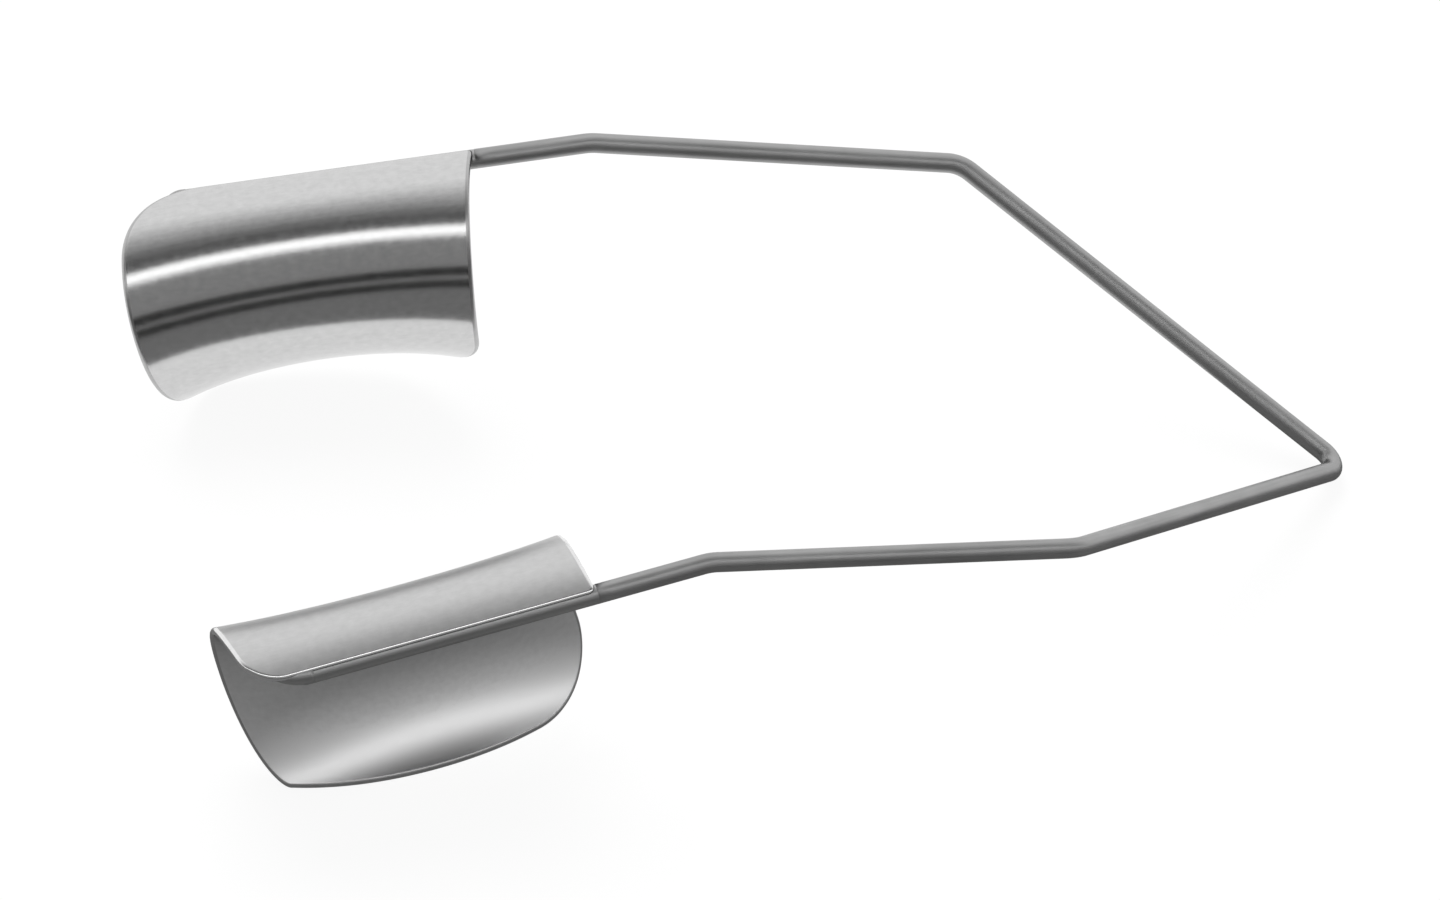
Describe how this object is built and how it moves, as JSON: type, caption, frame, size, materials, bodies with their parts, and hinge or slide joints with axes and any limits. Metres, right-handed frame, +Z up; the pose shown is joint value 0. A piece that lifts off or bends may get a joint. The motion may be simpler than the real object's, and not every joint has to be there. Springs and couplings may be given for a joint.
{
  "type": "eye speculum",
  "caption": "Wire eyelid speculum: a bent spring wire whose arms each carry a solid, gutter-shaped lid blade, held open to part the eyelids.",
  "frame": {"origin": "on the table, under the middle of the instrument's bounding box", "axes": "+X from the blades (nasal end) to the closed spring bend (temporal end), +Y across the arms towards the far blade, +Z up; the instrument lies on the spring bend and the blades' lower lips"},
  "size_m": [0.0512, 0.0286, 0.0124],
  "materials": {
    "wire_steel": "satin drawn wire",
    "blade_steel": "satin outside, matt in the gutter",
    "hard_solder": "satin, blended with the wire"
  },
  "bodies": {
    "root": {"spring_wire": "wire_steel", "far_blade": "blade_steel", "near_blade": "blade_steel", "far_solder_seam": "hard_solder", "near_solder_seam": "hard_solder"}
  },
  "joints": []
}
